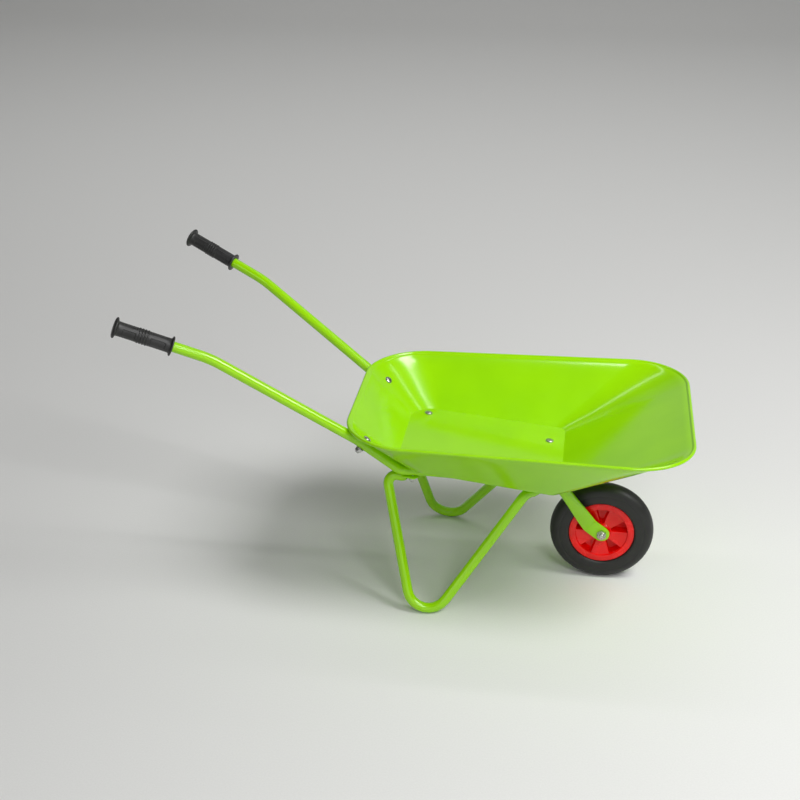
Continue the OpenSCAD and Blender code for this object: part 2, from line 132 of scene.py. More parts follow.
def makeZincPlate():
    # bright zinc plating on steel fasteners: pale grey metal with a fine cloudy grain
    s = zincSizes
    material, tree, shader, place = newMaterial("brightZincPlate", {"Metallic": 1.0})
    grain = addNode(tree, "ShaderNodeTexNoise", {"Scale": perMetre(s["spangle"]), "Detail": 3.0},
                    {"Vector": place})
    tree.links.new(ramp(tree, grain.outputs["Fac"], [(0.35, linear(s["dark"])), (0.65, linear(s["light"]))]),
                   shader.inputs["Base Color"])
    tree.links.new(ramp(tree, grain.outputs["Fac"], [(0.3, grey(0.22)), (0.7, grey(0.36))]),
                   shader.inputs["Roughness"])
    fine = addNode(tree, "ShaderNodeTexNoise", {"Scale": perMetre(s["scratch"]), "Detail": 2.0},
                   {"Vector": place})
    bump = addNode(tree, "ShaderNodeBump", {"Strength": 0.08, "Distance": 0.00005},
                   {"Height": fine.outputs["Fac"]})
    tree.links.new(bump.outputs["Normal"], shader.inputs["Normal"])
    return material


gripSizes = {"light": "#2C2C2C", "dark": "#1F1F1E", "spark": 0.5, "cloud": 14}


def makeGripPlastic():
    # moulded PVC grip: dark grey, satin, with the fine pitting of a spark-eroded mould
    s = gripSizes
    material, tree, shader, place = newMaterial("mouldedPvcGrip", {"IOR": 1.5})
    cloud = addNode(tree, "ShaderNodeTexNoise", {"Scale": perMetre(s["cloud"]), "Detail": 3.0},
                    {"Vector": place})
    tree.links.new(ramp(tree, cloud.outputs["Fac"], [(0.35, linear(s["dark"])), (0.7, linear(s["light"]))]),
                   shader.inputs["Base Color"])
    tree.links.new(ramp(tree, cloud.outputs["Fac"], [(0.3, grey(0.36)), (0.7, grey(0.48))]),
                   shader.inputs["Roughness"])
    pits = addNode(tree, "ShaderNodeTexNoise", {"Scale": perMetre(s["spark"]), "Detail": 2.0},
                   {"Vector": place})
    bump = addNode(tree, "ShaderNodeBump", {"Strength": 0.25, "Distance": 0.0001},
                   {"Height": pits.outputs["Fac"]})
    tree.links.new(bump.outputs["Normal"], shader.inputs["Normal"])
    return material


rimSizes = {"base": "#F20400", "deep": "#DC0200", "flow": 30, "ripple": 5}


def makeRimPlastic():
    # injection-moulded polypropylene, coloured through: bright glossy red with faint flow marks
    s = rimSizes
    material, tree, shader, place = newMaterial("redPolypropylene", {"IOR": 1.49})
    flow = addNode(tree, "ShaderNodeTexNoise",
                   {"Scale": perMetre(s["flow"]), "Detail": 3.0, "Distortion": 0.6},
                   {"Vector": place})
    tree.links.new(ramp(tree, flow.outputs["Fac"], [(0.35, linear(s["deep"])), (0.65, linear(s["base"]))]),
                   shader.inputs["Base Color"])
    tree.links.new(ramp(tree, flow.outputs["Fac"], [(0.3, grey(0.2)), (0.7, grey(0.3))]),
                   shader.inputs["Roughness"])
    ripple = addNode(tree, "ShaderNodeTexNoise", {"Scale": perMetre(s["ripple"]), "Detail": 1.0},
                     {"Vector": place})
    bump = addNode(tree, "ShaderNodeBump", {"Strength": 0.03, "Distance": 0.0003},
                   {"Height": ripple.outputs["Fac"]})
    tree.links.new(bump.outputs["Normal"], shader.inputs["Normal"])
    return material


tyreSizes = {"light": "#20201F", "dark": "#161615", "grain": 0.7, "dust": 22}


def makeTyreRubber():
    # moulded foam tyre skin: near black, satin, with a slightly dusty, fine-grained face
    s = tyreSizes
    material, tree, shader, place = newMaterial("mouldedTyreSkin", {"IOR": 1.5})
    dust = addNode(tree, "ShaderNodeTexNoise", {"Scale": perMetre(s["dust"]), "Detail": 4.0},
                   {"Vector": place})
    tree.links.new(ramp(tree, dust.outputs["Fac"], [(0.35, linear(s["dark"])), (0.7, linear(s["light"]))]),
                   shader.inputs["Base Color"])
    tree.links.new(ramp(tree, dust.outputs["Fac"], [(0.3, grey(0.42)), (0.7, grey(0.56))]),
                   shader.inputs["Roughness"])
    grain = addNode(tree, "ShaderNodeTexNoise", {"Scale": perMetre(s["grain"]), "Detail": 2.0},
                    {"Vector": place})
    bump = addNode(tree, "ShaderNodeBump", {"Strength": 0.2, "Distance": 0.0001},
                   {"Height": grain.outputs["Fac"]})
    tree.links.new(bump.outputs["Normal"], shader.inputs["Normal"])
    return material


limeEnamel = makeLimeEnamel()
zincPlate = makeZincPlate()
gripPlastic = makeGripPlastic()
rimPlastic = makeRimPlastic()
tyreRubber = makeTyreRubber()
print("materials made")


def finishPiece(name, bm, material, body, nodes, recalc=True, smoothAngle=40, doubles=0.00001):
    # the bmesh becomes a smooth-shaded object that stands for these nodes
    bmesh.ops.remove_doubles(bm, verts=bm.verts, dist=doubles)
    if recalc:
        bmesh.ops.recalc_face_normals(bm, faces=bm.faces)
    mesh = bpy.data.meshes.new(name)
    bm.to_mesh(mesh)
    bm.free()
    for polygon in mesh.polygons:
        polygon.use_smooth = True
    mesh.set_sharp_from_angle(angle=math.radians(smoothAngle))
    mesh.materials.append(material)
    piece = bpy.data.objects.new(name, mesh)
    bpy.context.scene.collection.objects.link(piece)
    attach(piece, body)
    if nodes:
        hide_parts(*nodes)
    return piece


def frameFrom(origin, along, side):
    # a matrix with local Z along a direction and local X as near as can be to side
    z = along.normalized()
    x = (side - z * side.dot(z)).normalized()
    y = z.cross(x)
    return Matrix(((x.x, y.x, z.x, origin.x), (x.y, y.y, z.y, origin.y), (x.z, y.z, z.z, origin.z),
                   (0, 0, 0, 1)))


def ring(bm, matrix, radius, segments=32):
    # a circle of edges, without a face
    made = bmesh.ops.create_circle(bm, segments=segments, radius=radius, matrix=matrix)
    return made["verts"]


def edgesOf(verts):
    inside = set(verts)
    return list({e for v in verts for e in v.link_edges if e.verts[0] in inside and e.verts[1] in inside})


def bridgeAll(bm, loops, capFirst=True, capLast=True):
    # skins a row of closed loops
    edgeLoops = [edgesOf(loop) for loop in loops]
    for a, b in zip(edgeLoops, edgeLoops[1:]):
        bmesh.ops.bridge_loops(bm, edges=a + b)
    for wanted, edges in ((capFirst, edgeLoops[0]), (capLast, edgeLoops[-1])):
        if wanted:
            bmesh.ops.holes_fill(bm, edges=edges, sides=0)


def lathe(bm, profile, matrix, steps=64):
    # spins (radius, height) points about local Z; a closed profile repeats its first point
    verts = [bm.verts.new(matrix @ Vector((r * mm, 0, z * mm))) for r, z in profile]
    edges = [bm.edges.new(pair) for pair in zip(verts, verts[1:])]
    bmesh.ops.spin(bm, geom=verts + edges, cent=matrix.translation, axis=matrix.to_3x3() @ zAxis,
                   angle=2 * math.pi, steps=steps, use_merge=True)


def roundedPath(points, radii, arcSteps=10):
    # centre line of a bent tube: straight runs joined by arcs, as (point, direction) pairs
    path = [(points[0], (points[1] - points[0]).normalized())]
    for i in range(1, len(points) - 1):
        before = (points[i] - points[i - 1]).normalized()
        after = (points[i + 1] - points[i]).normalized()
        turn = before.angle(after)
        if turn < 1e-4:
            continue
        trim = radii[i] * math.tan(turn / 2)
        axis = before.cross(after).normalized()
        start = points[i] - before * trim
        centre = start + axis.cross(before) * radii[i]
        for step in range(arcSteps + 1):
            spin = Matrix.Rotation(turn * step / arcSteps, 3, axis)
            path.append((centre + spin @ (start - centre), spin @ before))
    path.append((points[-1], (points[-1] - points[-2]).normalized()))
    return path


def flatSection(bm, matrix, halfWide, halfThin, segments=32):
    # a closed section: a circle squeezed towards a slot with rounded ends
    verts = ring(bm, Matrix.Identity(4), 1.0, segments)
    straight = max(halfWide - halfThin, 0)
    for v in verts:
        v.co = Vector((v.co.x * halfThin + math.copysign(straight, v.co.x) * min(1, abs(v.co.x) * 6),
                       v.co.y * halfThin, 0))
    bmesh.ops.transform(bm, matrix=matrix, verts=verts)
    return verts


tray = {
    "rimRear": -92, "rimFront": 397.5, "rimZ": 278.5, "rimHalfRear": 173, "rimHalfFront": 191.5,
    "rimCorner": 88,
    "floorRear": -22.5, "floorFront": 216, "floorHalfRear": 108, "floorHalfFront": 113, "depthRear": 64.5,
    "depthFront": 90, "floorCornerRear": 44, "floorCornerFront": 16, "sheet": 1.0, "fillet": 8.0, "bead": 2.5,
    "cornerSteps": 20,
}
floorTilt = math.atan2(tray["depthFront"] - tray["depthRear"], tray["floorFront"] - tray["floorRear"])


def floorHeight(x):
    return tray["rimZ"] - tray["depthRear"] - (x - tray["floorRear"]) * math.tan(floorTilt)


def trayLoop(bm, level, outward, rise):
    # one outline of the tray; level 0 is the rim and 1 the floor, outward grows it, rise lifts it
    t = tray
    mix = lambda a, b: t[a] + (t[b] - t[a]) * level
    rear = mix("rimRear", "floorRear") - outward
    front = mix("rimFront", "floorFront") + outward
    halfRear = mix("rimHalfRear", "floorHalfRear") + outward
    halfFront = mix("rimHalfFront", "floorHalfFront") + outward
    rearRadius = mix("rimCorner", "floorCornerRear") + outward
    frontRadius = mix("rimCorner", "floorCornerFront") + outward

    def height(x):
        # the walls' levels run from the flat rim to the sloping floor
        if level >= 1:
            return t["rimZ"] + (floorHeight(x) - t["rimZ"]) * level + rise
        depth = t["depthRear"] + (t["depthFront"] - t["depthRear"]) * (x - rear) / (front - rear)
        return t["rimZ"] - depth * level + rise

    corners = [(rear, halfRear, rearRadius), (front, halfFront, frontRadius),
               (front, -halfFront, frontRadius), (rear, -halfRear, rearRadius)]
    verts = [bm.verts.new((x * mm, y * mm, 0)) for x, y, _ in corners]
    bm.faces.new(verts)
    made = []
    for vert, corner in zip(verts, corners):
        rounded = bmesh.ops.bevel(bm, geom=[vert], offset=corner[2] * mm, offset_type="OFFSET",
                                  affect="VERTICES",
                                  segments=t["cornerSteps"], profile=0.5, material=-1)
        made += rounded["verts"]
    face = made[0].link_faces[0]
    loop = list(face.verts)
    for v in loop:
        v.co.z = height(v.co.x / mm) * mm
    bmesh.ops.delete(bm, geom=[face], context="FACES_ONLY")
    return loop


def makeTray():
    # pressed sheet: floor, soft fillet, flaring walls, a narrow lip and a rolled bead
    t = tray
    bm = bmesh.new()
    # (level, outward, rise) of the sheet's upper face, from the floor up
    wallRows = [(1, -0.5, 1.0), (0.75, -0.8, 0), (0.5, -1.0, 0), (0.3, -1.2, 0), (0.18, -1.7, 0),
                (0.1, -2.6, 0),
                (0.05, -3.6, 0), (0.025, -4.2, 0.1), (0, -4.6, -0.6), (0, -3.6, -0.1), (0, -2.9, 0.15)]
    beadRows = [(0, t["bead"] * math.cos(math.radians(a)), t["bead"] * math.sin(math.radians(a)))
                for a in (150, 120, 95, 70, 45, 20, -10, -40, -70, -100, -130)]
    loops = [trayLoop(bm, *row) for row in wallRows + beadRows]
    bridgeAll(bm, loops, capFirst=False, capLast=False)
    floorFace = bm.faces.new(loops[0])
    bmesh.ops.bevel(bm, geom=list(floorFace.edges), offset=t["fillet"] * mm, offset_type="OFFSET",
                    affect="EDGES",
                    segments=6, profile=0.5, material=-1, clamp_overlap=True)
    bmesh.ops.remove_doubles(bm, verts=bm.verts, dist=0.00001)
    bmesh.ops.recalc_face_normals(bm, faces=bm.faces)
    floorSide = max(bm.faces, key=lambda f: f.calc_area())
    if floorSide.normal.z < 0:
        bmesh.ops.reverse_faces(bm, faces=bm.faces)
    return bm


trayPiece = finishPiece("pressedTray", makeTray(), limeEnamel, barrow, ["tray"], recalc=False)
skin = trayPiece.modifiers.new("sheet", "SOLIDIFY")
skin.thickness = tray["sheet"] * mm
skin.offset = -1
weighted = trayPiece.modifiers.new("evenShading", "WEIGHTED_NORMAL")
weighted.keep_sharp = True
print("tray made")

# bolts' places, measured like the tray's
boltSpots = {"rear": (3.0, 89.3), "front": (193.5, 59.0), "wall": (-67.8177, 108.098, 250.319),
             "wallNormal": (0.594382, -0.248718, 0.764754)}
tube = {
    "radius": 7.5, "tabThick": 2.8, "legLevel": 15.4,
    "path": [(-390.025, 194.599, 444.816), (-269.984, 161.76, 392.501), (-76.722, 110.461, 258.008),
             (-15.986, 94.340, 205.56), (19, 85.053, 201.819), (211.5, 56.313, 181.237), (262.1, 15.8, 91)],
    "bends": [0, 160, 60, 24, 60, 26, 15, 0], "axle": (280.1, 15.8, 78), "tabRadius": 12, "flatFrom": 128,
    "flatTo": 38,
    "armWide": 8.6, "tipAngles": (75, 60, 48, 36, 26, 16, 8),
}


def alongPath(path, stepMm, fromEnd, tabRadius=0, tipAngles=()):
    # adds sections where the shape changes, and gives each its distance to the far end
    out = []
    for (a, da), (b, db) in zip(path, path[1:]):
        gap = (b - a).length
        count = max(1, int(gap / (stepMm * mm))) if gap > stepMm * mm * 1.5 else 1
        out += [(a + (b - a) * i / count, da if i == 0 else (b - a).normalized()) for i in range(count)]
    out.append(path[-1])
    if tipAngles:  # close sections near a round tip
        tip, (before, _) = out[-1], out[-2]
        near = [tabRadius * mm * (1 - math.cos(math.radians(a))) for a in tipAngles]
        back = (before - tip[0]).normalized()
        out = [row for row in out[:-1] if (row[0] - tip[0]).length > near[0] * 1.1]
        out += [(tip[0] + back * gap, tip[1]) for gap in near] + [tip]
    lengths = [0]
    for (a, _), (b, _) in zip(out, out[1:]):
        lengths.append(lengths[-1] + (b - a).length)
    return [(p, d, (lengths[-1] - l if fromEnd else l) / mm, l / mm) for (p, d), l in zip(out, lengths)]


def ease(value):
    value = min(max(value, 0), 1)
    return value * value * (3 - 2 * value)


def roundEnd(distance, radius):
    # half width of a tab with a round end, at a distance from the tip
    return math.sqrt(max(radius ** 2 - (radius - distance) ** 2, 0.04)) if distance < radius else radius


def makeMainTube(mirrored):
    # one bent tube: handle, floor run and fork arm, pressed flat at the axle
    t = tube
    axle = Vector(t["axle"])
    heel = Vector(t["path"][-1])
    points = [Vector(p) * mm for p in t["path"]] + [(axle + (axle - heel).normalized() * t["tabRadius"]) * mm]
    path = roundedPath(points, [r * mm for r in t["bends"]], 12)
    bm = bmesh.new()
    loops = []
    for point, ahead, toGo, _ in alongPath(path, 5, True, t["tabRadius"], t["tipAngles"]):
        flat = ease((t["flatFrom"] - toGo) / (t["flatFrom"] - t["flatTo"]))
        thin = t["radius"] + (t["tabThick"] / 2 - t["radius"]) * flat
        start = ease((t["flatFrom"] + 12 - toGo) / 12)
        wide = t["radius"] + (t["armWide"] - t["radius"]) * start * (1 - flat)
        wide += (t["tabRadius"] - t["radius"]) * flat
        wide = min(wide, roundEnd(toGo, t["tabRadius"])) if toGo < t["tabRadius"] else wide
        loops.append(flatSection(bm, frameFrom(point, ahead, ahead.cross(yAxis)), wide * mm,
                                 min(thin, wide) * mm))
    bridgeAll(bm, loops)
    if mirrored:
        bmesh.ops.transform(bm, matrix=mirrorY, verts=bm.verts)
    return bm


for side, mirrored in (("Left", False), ("Right", True)):
    finishPiece("mainTube" + side, makeMainTube(mirrored), limeEnamel, barrow,
                ["main_tube_" + side.lower()])

leg = {
    "path": [(-14, 86.3, 190.061), (-39.5, 81.3, 198.787), (17.8, 164, -34.795), (167.5, 71, 170.655),
             (181.959, 64.3264, 169.109)],
    "bends": [12.5, 31, 22], "tabRadius": 10, "flatRun": 9,
}
floorUp = Vector((math.sin(floorTilt), 0, math.cos(floorTilt)))


def onFloor(spot, rise):
    # a point at a bolt, this far above the floor's underside along its normal
    return (Vector((spot[0], spot[1], floorHeight(spot[0]))) + floorUp * rise) * mm


def makeLeg(mirrored):
    # a V of the same tube, each end pressed flat under the main tube
    g = leg
    level = -tube["legLevel"] - tube["tabThick"] / 2
    inner = [Vector(p) * mm for p in g["path"]]
    ends = []
    for spot, first in ((boltSpots["rear"], inner[0]), (boltSpots["front"], inner[-1])):
        centre = onFloor(spot, level)
        away = first - centre
        away = (away - floorUp * away.dot(floorUp)).normalized()
        ends.append((centre - away * g["tabRadius"] * mm, centre + away * g["flatRun"] * mm))
    points = [ends[0][0], ends[0][1]] + inner + [ends[1][1], ends[1][0]]
    radii = [0, 8 * mm, 12 * mm] + [r * mm for r in g["bends"]] + [12 * mm, 8 * mm, 0]
    path = roundedPath(points, radii, 8)
    rows = alongPath(path, 4, False)
    whole = rows[-1][3]
    rearIn = (inner[0] - ends[0][0]).length / mm
    frontIn = (inner[-1] - ends[1][0]).length / mm
    bm = bmesh.new()
    loops = []
    for point, ahead, _, gone in rows:
        fromTip, roundAt = (gone, rearIn) if gone < whole / 2 else (whole - gone, frontIn)
        flatUntil = g["tabRadius"] + g["flatRun"] - 2
        flat = 1 - ease((fromTip - flatUntil) / (roundAt + 3 - flatUntil))
        thin = tube["radius"] + (tube["tabThick"] / 2 - tube["radius"]) * flat
        wide = tube["radius"] + (g["tabRadius"] - tube["radius"]) * flat
        wide = min(wide, roundEnd(fromTip, g["tabRadius"]))
        loops.append(flatSection(bm, frameFrom(point, ahead, yAxis), wide * mm, min(thin, wide) * mm))
    bridgeAll(bm, loops)
    if mirrored:
        bmesh.ops.transform(bm, matrix=mirrorY, verts=bm.verts)
    return bm


for side, mirrored in (("Left", False), ("Right", True)):
    finishPiece("leg" + side, makeLeg(mirrored), limeEnamel, barrow, ["leg_" + side.lower()])
print("tubes and legs made")

grip = {
    "end": (-394.471, 195.815, 446.753), "axis": (0.88919, -0.243255, -0.387516), "length": 84, "body": 10.25,
    "bore": 7.55, "cap": 5, "frontFlange": 14, "ribs": 4, "ribPitch": 4, "ribHigh": 0.75,
    "pockets": [(13, 32), (52, 74)], "pocketHalfAngle": 31, "pocketDeep": 0.9,
}


def makeGrip(mirrored):
    # domed cap flange, ribbed waist, long shallow pockets either side of it, thin front flange
    g = grip
    body, length = g["body"], g["length"]
    profile = [(0.001, 0), (5, 0.05), (9, 0.3), (12, 0.8), (13.8, 1.5), (14.7, 2.3), (15, 3.1),
               (14.8, 3.9), (14.2, 4.6),
               (13, 5.1), (11.6, 5.4), (10.9, 5.9), (10.5, 6.8), (body, 8.2)]
    firstPocket, lastPocket = g["pockets"]
    profile += [(body, z) for z in (firstPocket[0], firstPocket[1])]
    waist = length / 2
    for i in range(g["ribs"]):
        z = waist + (i - (g["ribs"] - 1) / 2) * g["ribPitch"]
        profile += [(body, z - 1.3), (body + 0.5, z - 1.0), (body + g["ribHigh"], z - 0.4),
                    (body + g["ribHigh"], z + 0.4), (body + 0.5, z + 1.0), (body, z + 1.3)]
    profile += [(body, z) for z in (lastPocket[0], lastPocket[1])]
    profile += [(body, length - 5), (body + 0.4, length - 3.6), (body + 1.4, length - 2.9),
                (g["frontFlange"] - 0.6, length - 2.3),
                (g["frontFlange"], length - 1.7), (g["frontFlange"], length - 0.9),
                (g["frontFlange"] - 0.5, length - 0.2),
                (g["frontFlange"] - 1.4, length), (g["bore"] + 0.8, length), (g["bore"], length - 0.8),
                (g["bore"], g["cap"]), (0.001, g["cap"])]
    origin = Vector(g["end"]) * mm
    place = frameFrom(origin, Vector(g["axis"]), zAxis)
    bm = bmesh.new()
    lathe(bm, profile, place, steps=72)
    bmesh.ops.remove_doubles(bm, verts=bm.verts, dist=0.00002)
    bmesh.ops.recalc_face_normals(bm, faces=bm.faces)
    back = place.inverted()
    for low, high in g["pockets"]:
        for quarter in range(4):
            chosen = []
            for face in bm.faces:
                local = back @ face.calc_center_median() / mm
                angle = math.degrees(math.atan2(local.y, local.x))
                off = (angle - quarter * 90 + 180) % 360 - 180
                if low < local.z < high and abs(off) < g["pocketHalfAngle"] and math.hypot(local.x,
                    local.y) > body - 0.5:
                    chosen.append(face)
            bmesh.ops.inset_region(bm, faces=chosen, thickness=1.0 * mm, depth=-g["pocketDeep"] * mm,
                                   use_even_offset=True)
    if mirrored:
        bmesh.ops.transform(bm, matrix=mirrorY, verts=bm.verts)
    return bm


for side, mirrored in (("Left", False), ("Right", True)):
    finishPiece("grip" + side, makeGrip(mirrored), gripPlastic, barrow,
                ["grip_" + side.lower()])
print("grips made")

# the wheel's frame: local Z out to the right along the axle, local Y up
axleFrame = Matrix(((1, 0, 0, 0.2801), (0, 0, -1, 0), (0, 1, 0, 0.078), (0, 0, 0, 1)))
rim = {
    "outer": 49, "halfWide": 12.7, "seat": 45, "bore": 5.68, "hub": 13.5, "faceAt": 10.1, "ringInner": 39,
    "panels": 5, "pocketTip": 14.8, "tipHalf": 2.7, "pocketOuter": 38.2, "pocketHalf": 10.2,
    "pocketFloor": -6.8,
}


def closedBothSides(half):
    # a profile's upper half and its mirror image, closed
    return half + [(r, -z) for r, z in reversed(half)] + [half[0]]


def pocketCutters(r):
    # tapered pockets between the panels, five from each face, half a pitch apart
    bm = bmesh.new()
    for face in range(2):
        turned = Matrix.Rotation(math.pi * face, 4, xAxis)
        for i in range(r["panels"]):
            place = axleFrame @ turned @ Matrix.Rotation(2 * math.pi * i / r["panels"], 4, zAxis)
            points = [(-r["tipHalf"], r["pocketTip"]), (r["tipHalf"], r["pocketTip"]),
                      (r["pocketHalf"], r["pocketOuter"] - 1),
                      (r["pocketHalf"] * 0.5, r["pocketOuter"]), (-r["pocketHalf"] * 0.5, r["pocketOuter"]),
                      (-r["pocketHalf"], r["pocketOuter"] - 1)]
            verts = [bm.verts.new(place @ Vector((x * mm, y * mm, r["pocketFloor"] * mm))) for x, y in points]
            base = bm.faces.new(verts)
            lifted = bmesh.ops.extrude_face_region(bm, geom=[base])
            top = [v for v in lifted["geom"] if isinstance(v, bmesh.types.BMVert)]
            rise = place.to_3x3() @ Vector((0, 0, (r["faceAt"] - r["pocketFloor"] + 4) * mm))
            bmesh.ops.translate(bm, vec=rise, verts=top)
    bmesh.ops.recalc_face_normals(bm, faces=bm.faces)
    mesh = bpy.data.meshes.new("pocketCutters")
    bm.to_mesh(mesh)
    bm.free()
    cutters = bpy.data.objects.new("pocketCutters", mesh)
    bpy.context.scene.collection.objects.link(cutters)
    return cutters


def makeRim():
    # moulded rim: hub, ring with the tyre's groove, and a web with pockets sunk from both faces
    r = rim
    wide, face, inner = r["halfWide"], r["faceAt"], r["ringInner"]
    half = [(r["bore"], wide - 0.4), (r["bore"] + 0.4, wide), (r["hub"] - 1.0, wide),
            (r["hub"] - 0.2, wide - 0.7),
            (r["hub"] + 0.1, face + 0.7), (r["hub"] + 0.7, face), (inner - 1.0, face),
            (inner - 0.4, face + 0.4),
            (inner, wide - 1.0), (inner + 0.5, wide - 0.2), (inner + 1.5, wide), (r["outer"] - 1.3, wide),
            (r["outer"] - 0.4, wide - 0.4), (r["outer"], wide - 1.2), (r["outer"] - 0.3, wide - 2.0),
            (r["seat"] + 0.5, wide - 2.3), (r["seat"], wide - 2.9)]
    bm = bmesh.new()
    lathe(bm, closedBothSides(half), axleFrame, steps=96)
    bmesh.ops.remove_doubles(bm, verts=bm.verts, dist=0.00001)
    bmesh.ops.recalc_face_normals(bm, faces=bm.faces)
    mesh = bpy.data.meshes.new("rimBlank")
    bm.to_mesh(mesh)
    bm.free()
    blank = bpy.data.objects.new("rimBlank", mesh)
    bpy.context.scene.collection.objects.link(blank)
    cutters = pocketCutters(r)
    cut = blank.modifiers.new("pockets", "BOOLEAN")
    cut.operation = "DIFFERENCE"
    cut.solver = "EXACT"
    cut.object = cutters
    soften = blank.modifiers.new("mouldedEdges", "BEVEL")
    soften.width = 0.6 * mm
    soften.segments = 2
    soften.limit_method = "ANGLE"
    soften.angle_limit = math.radians(50)
    bpy.context.view_layer.update()
    done = blank.evaluated_get(bpy.context.evaluated_depsgraph_get())
    result = bmesh.new()
    result.from_mesh(done.to_mesh())
    done.to_mesh_clear()
    for extra in (blank, cutters):
        bpy.data.objects.remove(extra)
    return result


finishPiece("wheelRim", makeRim(), rimPlastic, wheelBody, ["wheel_rim"], smoothAngle=35)

tyre = {"outer": 78, "seat": 45.2, "seatHalf": 10.3, "rimEdge": 49.3}


def makeTyre():
    # smooth treadless tyre: seat in the rim, soft side wall with one raised circle, round shoulders
    t = tyre
    half = [(t["seat"], t["seatHalf"]), (t["rimEdge"], t["seatHalf"] + 0.1), (49.5, 12.4), (50.1, 13.7),
            (51.6, 14.6),
            (54, 15.1), (57, 15.4), (60.5, 15.5), (62.6, 15.45), (63.1, 15.2), (63.7, 15.2), (64.2, 15.4),
            (66.5, 15.2),
            (69, 14.6), (71.6, 13.4), (73.8, 11.6), (75.6, 9.2), (76.8, 6.6), (77.6, 3.8), (77.95, 1.3)]
    bm = bmesh.new()
    lathe(bm, closedBothSides(half), axleFrame, steps=128)
    return bm


finishPiece("tyre", makeTyre(), tyreRubber, wheelBody, ["tyre"], smoothAngle=50)
print("wheel made")

fastener = {"shank": 3, "headRadius": 6, "headHigh": 3.0, "nutCorner": 5.7, "nut": 5, "washerOuter": 6,
            "washerInner": 3.3,
            "washer": 1.2, "past": 2}


def dome(bm, place, radius, high):
    # shallow mushroom head on a thin rim
    rows = [(radius * math.cos(math.radians(a)), high * 0.25 + high * 0.75 * math.sin(math.radians(a)))
            for a in (0, 12, 26, 42, 58, 74, 86)]
    lathe(bm, [(0.001, 0), (radius * 0.97, 0), (radius, high * 0.12)] + rows + [(0.001, high)], place,
          steps=40)


def hexPrism(bm, place, corner, low, high, chamfer=0.5):
    # hexagon with chamfered corners
    loops = [ring(bm, place @ Matrix.Translation((0, 0, z * mm)), r * mm, 6)
             for z, r in ((low, corner - chamfer), (low + chamfer * 0.6, corner),
                          (high - chamfer * 0.6, corner),
                          (high, corner - chamfer))]
    bridgeAll(bm, loops)


def washerRing(bm, place, inner, outer, low, high):
    edge = 0.2
    lathe(bm, [(inner, low), (outer - edge, low), (outer, low + edge), (outer, high - edge),
               (outer - edge, high),
               (inner, high), (inner, low)], place, steps=40)


def threadedRod(bm, place, radius, low, high, pitch=1.0):
    # plain shank with a few turns of ridge at its low end
    profile = [(0.001, low), (radius - 0.7, low)]
    z = low + 0.4
    while z < low + 7 and z + pitch < high:
        profile += [(radius - 0.45, z), (radius, z + pitch * 0.4), (radius, z + pitch * 0.55),
                    (radius - 0.45, z + pitch * 0.95)]
        z += pitch
    profile += [(radius, z + 0.3), (radius, high), (0.001, high)]
    lathe(bm, profile, place, steps=32)


def fastenerFrames(spot):
    # the left and right frames of a pair, local Z away from the nut
    if spot == "wall":
        origin, up = Vector(boltSpots["wall"]) * mm, Vector(boltSpots["wallNormal"])
    else:
        origin, up = onFloor(boltSpots[spot], 0), floorUp
    left = frameFrom(origin, up, xAxis)
    right = frameFrom(mirrorY @ origin, mirrorY.to_3x3() @ up, xAxis)
    return left, right


def makeFasteners(spot, under, headAt):
    # bolts, washers and nuts of one pair; under is the face below which the washer lies
    f = fastener
    made = {kind: bmesh.new() for kind in ("bolts", "washers", "nuts")}
    low = under - f["washer"] - f["nut"]
    for place in fastenerFrames(spot):
        dome(made["bolts"], place @ Matrix.Translation((0, 0, headAt * mm)), f["headRadius"], f["headHigh"])
        threadedRod(made["bolts"], place, f["shank"], low - f["past"], headAt + 0.5)
        washerRing(made["washers"], place, f["washerInner"], f["washerOuter"], under - f["washer"] + 0.02,
                   under - 0.02)
        hexPrism(made["nuts"], place, f["nutCorner"], low + 1.2, under - f["washer"])
        collar = [(3.1, low), (4.2, low), (4.6, low + 0.5), (4.6, low + 1.4), (3.1, low + 1.4), (3.1, low)]
        lathe(made["nuts"], collar, place, steps=40)
    return made


for spot, nodes, under, headAt in (("wall", "wall", -7.5, 9.0), ("rear", "rear_floor", -18.2, 1.3),
                                   ("front", "front_floor", -18.2, 1.3)):
    for kind, bm in makeFasteners(spot, under, headAt).items():
        finishPiece(spot + kind.capitalize(), bm, zincPlate, barrow, [nodes + "_" + kind],
                    smoothAngle=30)

axleParts = {"radius": 4, "forkOuter": 17.2, "head": 5.2, "headCorner": 7.4, "nut": 6.4, "nutCorner": 7.6,
             "past": 2,
             "sleeveOuter": 5.6, "sleeveInner": 4.1, "sleeveHalf": 14.4, "washerAt": 13.2, "washer": 1.2,
             "washerInner": 5.9, "washerOuter": 10.5}


